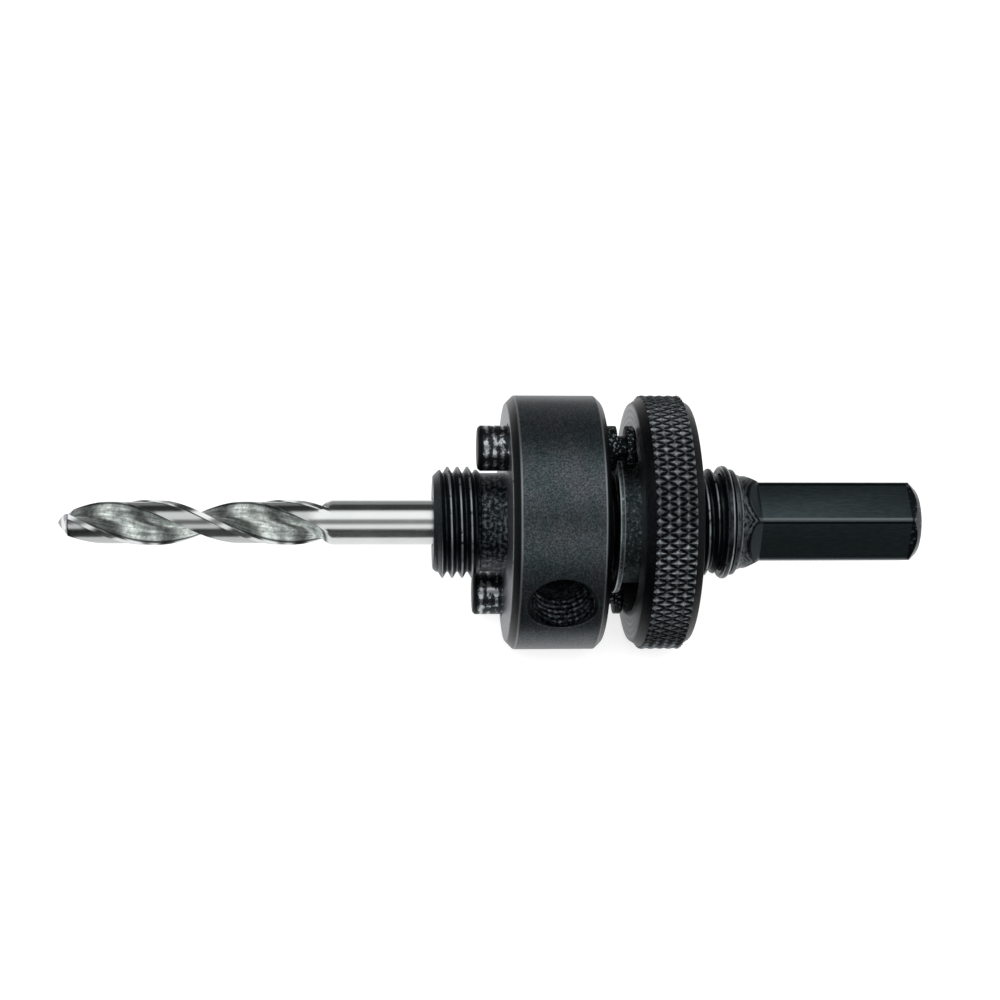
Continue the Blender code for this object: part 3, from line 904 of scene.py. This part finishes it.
def wear_and_highlight_line_group():
    """A narrow line at one value, broken up by noise, for worn edges and for painted edge highlights."""
    numbers = {"Value": 0.0, "Centre": 0.0, "Width": 0.1, "Breaks": 900.0, "Whole": 0.5}
    ink, given, result = start_group("wear_and_highlight_line", numbers, ["Mask"])
    away = ink.figure("ABSOLUTE", ink.minus(given["Value"], given["Centre"]))
    broken = ink.noise(ink.place(), given["Breaks"], 3.0, 0.6)
    low = ink.minus(0.78, ink.times(given["Whole"], 0.6))
    kept = ink.spread(broken, ink.minus(low, 0.12), low)
    ink.named(result, mask=ink.times(ink.spread(away, given["Width"], 0.0), kept))


def turned_marks_group():
    """Fine rings left by the turning tool, as a height."""
    ink, given, result = start_group("turned_marks", {"Value": 0.0, "Spacing": 0.25}, ["Height"])
    turns = ink.figure("DIVIDE", given["Value"], given["Spacing"])
    uneven = ink.noise(ink.combine(turns, 0.0, 0.0), 1.7, 2.0, 0.7)
    wave = ink.line(ink.figure("SINE", ink.times(turns, math.tau)), 0.5, 0.5)
    ink.named(result, height=ink.times(wave, uneven))


def open_material(name):
    material = bpy.data.materials.new(name)
    material.use_nodes = True
    ink = Ink(material.node_tree)
    ink.material = material
    return ink


def black_oxide():
    """The arbor's blackened bar: sandy collar, worn edges and crests, pitted relief, smooth hexagon."""
    ink = open_material("black_oxide")
    station, radius, around = ink.use("bar_place")
    flat_height, side = ink.use("bar_flats", radius=radius, around=around)
    speckle, mottle, grain = ink.use("sandy_grain", grain=3900.0, mottle=240.0)
    pits = ink.noise(ink.place(), 1900.0, 4.0, 0.7)
    face_rim = collar_radius / MM - COLLAR_FRONT_CHAMFER / MM

    # Collar and its chamfers, the chamfers painted near black as a painted dark reflection
    outside = ink.past(radius, collar_radius, -0.15, -0.05)
    dark = ink.blend(mottle, (0.009, 0.014, 0.016), (0.020, 0.027, 0.030))
    sandy = ink.blend(mottle, (0.048, 0.064, 0.069), (0.068, 0.077, 0.086))
    # Painted dark reflection: the collar's chamfers are laid near black
    painted_dark_chamfer = ink.times(ink.past(radius, collar_radius, -1.5, -1.1), ink.minus(1.0, outside))
    dark = ink.blend(ink.times(painted_dark_chamfer, 0.9), dark, NEAR_BLACK)
    least = ink.level(outside, 0.50, 0.42)
    speckled = ink.line(speckle, ink.minus(1.64, least), least)
    ink.colour = ink.scaled(ink.blend(outside, dark, sandy), speckled)

    # Zones along the bar. The vee is the foot of the ramps between the hexagon and the round neck
    relief_zone = ink.times(
        ink.between(station, relief_front / MM - 0.5, collar_front / MM),
        ink.past(radius, relief_radius, 0.7, 0.4),
    )
    slope = (neck_radius - hex_apothem) / HEX_RAMP_LENGTH
    climb = ink.line(flat_height, 1 / slope, -hex_apothem / MM / slope)
    past_vee = ink.plus(climb, ink.minus(station, hex_foot / MM))
    beyond_neck = ink.spread(station, neck_front / MM, neck_rear / MM)
    hexagon = ink.times(ink.spread(past_vee, -0.24, -0.12), beyond_neck)
    neck_zone = ink.times(
        ink.times(ink.past(station, land_rear, -0.1, 0.1), ink.spread(radius, 7.6, 7.4)),
        ink.minus(1.0, hexagon),
    )
    in_well = ink.times(
        ink.between(station, (screw_x - well_radius) / MM - 0.1, (screw_x + well_radius) / MM + 0.1),
        ink.times(ink.past(radius, collar_radius, -0.3, -0.7), ink.spread(radius, 8.0, 9.0)),
    )

    # Pits and tool marks of the rough zones
    rough_zone = ink.largest(relief_zone, neck_zone, in_well)
    rough = ink.line(ink.marks(station, 0.72), 0.12, pits)
    ink.lay((0.003, 0.004, 0.005), rough_zone, ink.spread(rough, 0.53, 0.43))
    pitted = ink.times(rough_zone, ink.spread(rough, 0.50, 0.66))
    ink.lay((0.125, 0.145, 0.155), pitted, ink.line(neck_zone, -0.4, 0.8))
    chevrons = ink.figure("SINE", ink.line(past_vee, math.tau / 0.62, 2.6))
    chevrons = ink.times(ink.spread(ink.plus(chevrons, pits), 0.75, 1.3), neck_zone)
    ink.lay((0.115, 0.130, 0.137), chevrons, 0.6)
    ink.lay(NEAR_BLACK, ink.times(ink.between(past_vee, -0.42, -0.16), neck_zone))

    # Front face, lighter and faintly rusty
    front_face = ink.times(
        ink.between(station, collar_front / MM - 0.2, collar_front / MM + 0.06, 0.03),
        ink.between(radius, relief_radius / MM + 0.4, face_rim, 0.1),
    )
    plain_face = ink.blend(speckle, (0.10, 0.11, 0.13), (0.19, 0.20, 0.23))
    ink.lay(ink.blend(ink.specks(pits), plain_face, (0.17, 0.10, 0.085)), front_face)

    # Bare steel on the collar's edges, the thread crests, the land and the step
    edges = ink.largest(
        ink.worn(station, collar_front + COLLAR_FRONT_CHAMFER, 0.22, 0.95),
        ink.worn(station, collar_rear - COLLAR_REAR_CHAMFER, 0.20, 0.85),
        ink.worn(station, collar_front, 0.18, 0.6),
    )
    collar_wear = ink.times(edges, ink.spread(radius, face_rim - 0.3, face_rim))
    nose_crests = ink.worn(radius, nose_thread_radius, 0.17, 0.52)
    rear_crests = ink.worn(radius, rear_thread_radius, 0.15, 0.52)
    on_land = ink.past(radius, land_radius, -0.25, -0.1)
    thread_wear = ink.largest(
        ink.times(nose_crests, ink.past(station, relief_front, 0.2, -0.2)),
        ink.times(rear_crests, ink.between(station, collar_rear / MM + 0.2, land_rear / MM)),
        ink.times(ink.worn(station, step_front, 0.16, 0.5), neck_zone),
        ink.times(ink.worn(station, groove_rear, 0.14, 0.7), on_land),
    )
    ink.lay((0.25, 0.27, 0.28), collar_wear, 0.8)
    ink.lay((0.30, 0.33, 0.345), thread_wear, 0.85)

    # Hexagon: streaks along it, dark ramps, a painted highlight as a pale line on each ridge, with a painted
    # dark reflection as a dark line beside it
    across = ink.combine(ink.figure("COSINE", around), ink.figure("SINE", around), 0.0)
    along = ink.combine(0.0, 0.0, ink.times(station, 0.10))
    drawn = ink.put("VectorMath", ink.scaled(across, 5.0), along, operation="ADD").outputs[0]
    streak = ink.noise(drawn, 7.0, 4.0, 0.7)
    steel = ink.blend(ink.spread(streak, 0.36, 0.66), (0.028, 0.040, 0.043), (0.044, 0.058, 0.062))
    ink.lay(steel, hexagon)
    ink.lay((0.012, 0.017, 0.019), ink.times(hexagon, ink.past(station, hex_foot, 0.05, -0.15)), 0.6)
    # Painted highlight along each ridge, and a painted dark reflection in the dark line beside it
    ridge = ink.largest(ink.spread(side, 0.438, 0.452), ink.spread(side, -0.482, -0.491))
    ink.lay((0.10, 0.115, 0.12), hexagon, ridge)
    ink.lay(NEAR_BLACK, ink.times(hexagon, ink.between(side, -0.466, -0.422, 0.010)), 0.85)
    cut_steel = ink.blend(ink.specks(pits), (0.004, 0.006, 0.007), (0.12, 0.13, 0.14))
    ink.lay(cut_steel, ink.past(station, shank_end - SHANK_END_CHAMFER, -0.1, 0.1), 0.85)

    height = ink.line(ink.times(rough_zone, pits), 3.0, ink.level(hexagon, grain, streak))
    roughness = ink.level(hexagon, ink.level(outside, 0.33, 0.36), 0.30)
    roughness = ink.level(ink.largest(collar_wear, thread_wear), roughness, 0.38)
    return ink.dress(0.9, roughness, height, ink.level(hexagon, ink.level(outside, 0.55, 0.36), 0.10))


def ground_steel():
    """The drill: bright ground shank and lands, greyer flutes streaked along the helix, dull point."""
    ink = open_material("ground_steel")
    station, radius, around = ink.use("bar_place")
    vector = ink.place()
    shade = ink.noise(vector, 260.0, 3.0, 0.5)
    ink.colour = ink.blend(shade, (0.60, 0.625, 0.62), (0.72, 0.74, 0.735))

    fluted = ink.past(station, flute_end, 0.1, -0.4)
    cone = ink.times(ink.minus(station, drill_tip / MM), drill_radius / point_length)
    rim_share = ink.figure("DIVIDE", radius, ink.figure("MINIMUM", cone, drill_radius / MM))
    deep = ink.times(ink.spread(rim_share, 0.915, 0.88), fluted)
    swirl = ink.line(station, -math.tau / (DRILL_LEAD / MM), around)
    across = ink.times(radius, 0.9)
    cosine = ink.times(ink.figure("COSINE", swirl), across)
    sine = ink.times(ink.figure("SINE", swirl), across)
    streak = ink.noise(ink.combine(cosine, sine, ink.times(station, 0.10)), 2.4, 4.0, 0.65, 0.2)
    flute = ink.blend(ink.spread(streak, 0.36, 0.62), (0.34, 0.38, 0.365), (0.68, 0.73, 0.70))
    mottle = ink.spread(ink.noise(vector, 1500.0, 3.0, 0.7), 0.38, 0.62, 0.70, 1.20)
    ink.lay(ink.scaled(flute, mottle), deep)
    ink.lay((0.030, 0.040, 0.040), ink.times(ink.between(rim_share, 0.82, 0.92), fluted), 0.95)

    point_end = drill_tip + point_length
    patch = ink.noise(vector, 480.0, 1.0, 0.5)
    facet = ink.blend(ink.spread(patch, 0.46, 0.58), (0.27, 0.26, 0.30), (0.80, 0.80, 0.81))
    chisel = ink.past(station, drill_tip, 0.9, 0.45)
    facet = ink.blend(ink.times(chisel, 0.8), facet, (0.17, 0.15, 0.19))
    ink.lay(facet, ink.past(station, point_end, 0.02, -0.06), 0.9)
    lip = ink.between(station, point_end / MM - 0.30, point_end / MM + 0.03, 0.04)
    ink.lay((0.08, 0.075, 0.10), lip, 0.75)

    height = ink.level(deep, ink.marks(station, 0.09), streak)
    roughness = ink.level(deep, ink.line(shade, 0.08, 0.15), ink.line(streak, -0.22, 0.46))
    return ink.dress(1.0, roughness, height, ink.level(deep, 0.04, 0.32))


def pin_steel():
    """Dark drive pins with painted highlights as bright streaks on their sides, a black front edge, painted
    shade behind the collar, and specks at the rear.
    """
    ink = open_material("pin_steel")
    station = ink.use("bar_place")["Station"]
    vector = ink.place()
    blotch_noise = ink.noise(vector, 700.0, 4.0, 0.75, 0.5)
    fine = ink.noise(vector, 2600.0, 2.0, 0.6)
    dark = ink.blend(fine, (0.010, 0.013, 0.014), (0.040, 0.046, 0.050))
    # Painted shade: the pins' length behind the collar is laid darker; the front edge is darker too
    side = ink.between(station, pin_front / MM + 0.65, collar_front / MM + 1.5, 0.15)
    ink.colour = ink.blend(side, (0.006, 0.008, 0.009), dark)
    # Painted highlights: bright streaks along the turned marks on the pins' exposed sides
    turned = ink.marks(station, 1.1)
    painted_highlight_streaks = ink.times(ink.spread(ink.line(turned, 0.30, blotch_noise), 0.58, 0.70), side)
    ink.lay((0.50, 0.53, 0.55), painted_highlight_streaks, 0.9)
    ink.lay((0.20, 0.225, 0.235), ink.specks(fine), ink.past(station, collar_rear, 0.0, 0.3))
    roughness = ink.level(painted_highlight_streaks, ink.level(side, 0.52, 0.36), 0.22)
    return ink.dress(0.95, roughness, ink.plus(blotch_noise, ink.times(fine, 0.3)), 0.5)


def nut_steel():
    """The nut: pale worn diamond tops on black, a turned light face, black recess, dark hub, and painted
    highlights on the flange's edges.
    """
    ink = open_material("nut_steel")
    station, radius, _ = ink.use("bar_place")
    speckle, _, grain = ink.use("sandy_grain", grain=1900.0, mottle=300.0)
    ink.colour = ink.blend(speckle, (0.0015, 0.002, 0.0025), (0.006, 0.008, 0.009))
    ring = ink.times(ink.past(radius, flange_radius, 0.2, 0.0), ink.past(radius, nut_bore_radius, 0.0, 0.3))
    hub = ink.times(ring, ink.past(station, nut_front + NUT_RECESS_DEPTH, 0.0, -0.1))
    hub_green = ink.blend(speckle, (0.033, 0.050, 0.053), (0.125, 0.165, 0.170))
    specks = ink.specks(ink.noise(ink.place(), 2300.0, 2.0, 0.6))
    ink.lay(ink.blend(specks, hub_green, (0.32, 0.35, 0.36)), hub)
    worn_top = ink.times(ink.past(radius, nut_radius, -0.30, -0.12), ink.line(speckle, 0.75, 0.25))
    ink.lay(BARE_STEEL, worn_top)
    on_rim = ink.past(radius, nut_recess_radius, -0.1, 0.1)
    face = ink.times(on_rim, ink.past(station, nut_front, 0.12, 0.02))
    steps = ink.marks(radius, 0.9)
    ink.lay(ink.blend(ink.spread(steps, 0.1, 0.5), (0.03, 0.035, 0.04), (0.150, 0.158, 0.185)), face)
    # Painted highlights: bright broken lines along the flange's two edges
    rim_highlights = ink.largest(
        ink.worn(station, flange_front + 0.05 * MM, 0.2, 0.7),
        ink.worn(station, flange_rear - 0.05 * MM, 0.2, 0.6),
    )
    on_flange = ink.past(radius, flange_radius, -0.3, -0.1)
    inside = ink.spread(radius, nut_recess_radius / MM, flange_radius / MM + 0.3)
    ink.lay((0.60, 0.63, 0.65), ink.times(rim_highlights, on_flange), inside)
    roughness = ink.level(face, ink.level(worn_top, 0.40, 0.34), 0.32)
    return ink.dress(0.9, roughness, ink.line(ink.times(face, steps), 1.4, grain), 0.45)


def dark_spring_steel():
    """Black spring wire, worn bright along two lines where it rubs."""
    ink = open_material("dark_spring_steel")
    station = ink.use("bar_place")["Station"]
    speckle, _, grain = ink.use("sandy_grain", grain=1500.0, mottle=500.0)
    ink.colour = ink.blend(speckle, (0.014, 0.019, 0.021), (0.045, 0.055, 0.060))
    front_line = ink.worn(station, ring_low.x + 0.25 * MM, 0.14, 0.55)
    rear_line = ink.worn(station, ring_high.x - 0.32 * MM, 0.15, 0.64)
    ink.lay(BARE_STEEL, ink.largest(front_line, rear_line))
    return ink.dress(0.95, 0.30, grain, 0.3)


def screw_steel():
    ink = open_material("screw_steel")
    speckle, _, grain = ink.use("sandy_grain", grain=1700.0, mottle=600.0)
    ink.colour = ink.blend(speckle, (0.008, 0.010, 0.011), (0.080, 0.090, 0.096))
    return ink.dress(0.9, 0.40, grain, 0.6)


def coat(piece, material):
    piece.data.materials.clear()
    piece.data.materials.append(material)


def add_lamp(name, place, size, energy):
    """Soft lamp that shines on the matt surfaces and stays out of the reflections."""
    data = bpy.data.lights.new(name, "AREA")
    data.shape = "RECTANGLE"
    data.size, data.size_y = size
    data.energy = energy
    lamp = add_object(name, data)
    lamp.location = place
    lamp.rotation_euler = (Vector((AIM_X, 0, 0)) - Vector(place)).to_track_quat("-Z", "Y").to_euler()
    lamp.visible_glossy = False


def add_world():
    """White for the camera and in metal and glass, and a weaker fill on all that is matt."""
    world = bpy.data.worlds.new("studio")
    bpy.context.scene.world = world
    world.use_nodes = True
    ink = Ink(world.node_tree)
    path = ink.put("LightPath").outputs
    seen = ink.plus(path["Is Camera Ray"], path["Is Glossy Ray"])
    shown = ink.figure("ADD", seen, path["Is Transmission Ray"], clamp=True)
    ink.named(ink.tree.nodes["Background"], color=grey(1), strength=ink.level(shown, WORLD_FILL, 1.0))


def stage_material(name):
    """A material without the usual shader."""
    ink = open_material(name)
    ink.tree.nodes.remove(ink.tree.nodes["Principled BSDF"])
    return ink


def cover(piece, ink, shader):
    ink.feed(ink.tree.nodes["Material Output"].inputs["Surface"], shader.outputs[0])
    coat(piece, ink.material)


def light_up(piece, ink, colour):
    """Make a piece of the stage glow, seen by reflections alone."""
    cover(piece, ink, ink.put("Emission", colour))
    for kind in ("camera", "diffuse", "transmission", "shadow"):
        setattr(piece, "visible_" + kind, False)


def add_floor():
    """Plain white floor under the nut. It glows for the camera, more so far off, and keeps the shadow."""
    plane = bpy.ops.mesh.primitive_plane_add
    floor = begin("floor", plane, size=FLOOR_SIZE, location=(AIM_X, 0, -nut_radius))
    ink = stage_material("white_floor")
    path = ink.put("LightPath").outputs
    mirrored = ink.figure("ADD", path["Is Glossy Ray"], path["Is Transmission Ray"], clamp=True)
    reach = ink.put("VectorMath", ink.place(), operation="LENGTH").outputs["Value"]
    shown = ink.spread(reach, FLOOR_NEAR, FLOOR_FAR, FLOOR_GLOW, FLOOR_FAR_GLOW)
    strength = ink.line(path["Is Camera Ray"], shown, ink.times(mirrored, FLOOR_IN_METAL))
    matt = ink.put("BsdfDiffuse", grey(FLOOR_GREY)).outputs[0]
    cover(floor, ink, ink.put("AddShader", matt, ink.put("Emission", None, strength).outputs[0]))


def add_tent():
    """Long light tent round the arbor, seen by reflections alone: white strips between dark ones."""
    tent = begin(
        "light_tent", bpy.ops.mesh.primitive_cylinder_add,
        vertices=TENT_SIDES, radius=TENT_RADIUS, depth=TENT_LENGTH, end_fill_type="NOTHING",
        location=(AIM_X, 0, 0), rotation=(0, math.pi / 2, 0),
    )
    bpy.ops.object.transform_apply(location=True, rotation=True)
    ink = stage_material("tent_strips")
    _, y, z = ink.put("SeparateXYZ", ink.place()).outputs
    rise = ink.figure("ARCTAN2", z, ink.times(y, -1.0))
    ramp = ink.put("ValToRGB", ink.line(rise, 1 / math.tau, 0.5))
    strips = ramp.color_ramp
    strips.interpolation = "LINEAR"
    while len(strips.elements) > 1:
        strips.elements.remove(strips.elements[-1])
    strips.elements[0].position = 0.0
    strips.elements[0].color = grey(TENT_STRIPS[0][1])
    for angle, level in TENT_STRIPS[1:]:
        strips.elements.new(0.5 + angle / 360).color = grey(level)
    light_up(tent, ink, ramp.outputs[0])


def add_card(name, outline):
    """Dark card just over the floor, seen by reflections alone."""
    left, right, front, back, tone = outline
    middle = ((left + right) / 2, (front + back) / 2, CARD_LIFT - nut_radius)
    card = begin(name, bpy.ops.mesh.primitive_plane_add, size=1, location=middle)
    card.scale = (right - left, back - front, 1)
    bpy.ops.object.transform_apply(location=True, scale=True)
    light_up(card, stage_material(name), grey(tone))


def main():
    for make_group in (bar_place_group, flats_group, sandy_group, wear_and_highlight_line_group, turned_marks_group):
        make_group()
    pins = pin_steel()
    coat(model_arbor(), black_oxide())
    coat(model_drill(), ground_steel())
    coat(model_pin("upper_pin", "drive_pin_upper", pin_place), pins)
    coat(model_pin("lower_pin", "drive_pin_lower", -pin_place), pins)
    coat(model_nut(), nut_steel())
    coat(model_ring(), dark_spring_steel())
    coat(model_screw(), screw_steel())
    add_floor()
    add_tent()
    add_card("front_card", FRONT_CARD)
    # Painted shadow of the drill on the floor, seen in reflections
    add_card("drill_shadow_card", DRILL_SHADOW_CARD)
    add_world()
    add_lamp("front_softbox", *FRONT_LAMP)
    add_lamp("back_softbox", *BACK_LAMP)
    add_camera()
    bpy.context.scene.view_settings.view_transform = "Standard"


main()
